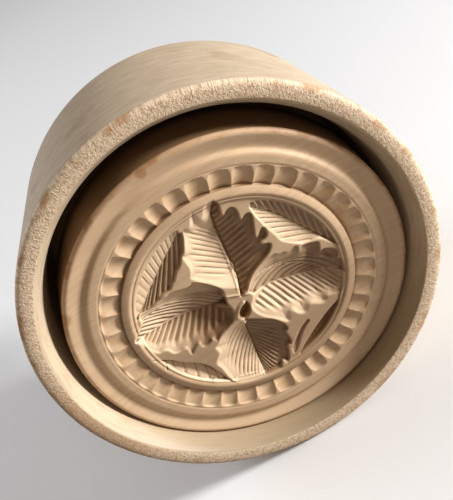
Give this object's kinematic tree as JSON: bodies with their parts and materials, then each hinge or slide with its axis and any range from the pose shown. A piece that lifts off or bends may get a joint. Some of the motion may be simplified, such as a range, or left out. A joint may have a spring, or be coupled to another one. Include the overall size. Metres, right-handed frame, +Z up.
{
  "type": "butter mold",
  "caption": "Turned wooden butter mold lying on its side: a cup-shaped case with a plunger, a leaf-carved round print on a knob handle, sliding and turning in it.",
  "frame": {"origin": "under the middle of the mold, on the surface that the case lies on", "axes": "-Y out of the mouth along the plunger, +Y towards the knob, +X to the right when looking into the mouth, +Z up"},
  "size_m": [0.1136, 0.1118, 0.1133],
  "materials": {
    "case_wood": "matt, bare, worn",
    "print_wood": "matt, smooth, slightly oily",
    "handle_wood": "matt, handled smooth"
  },
  "bodies": {
    "case": {"case": "case_wood"},
    "plunger": {"handle": "handle_wood"},
    "print": {"carved_print": "print_wood"}
  },
  "joints": [
    {"name": "plunger_slide", "type": "slide", "parent": "case", "child": "plunger", "axis": [0, -1, 0], "range_m": [-0.032, 0.01]},
    {"name": "print_turn", "type": "hinge", "parent": "plunger", "child": "print", "pos_m": [0, -0.04808, 0.05266], "axis": [0, -1, 0], "continuous": true}
  ]
}
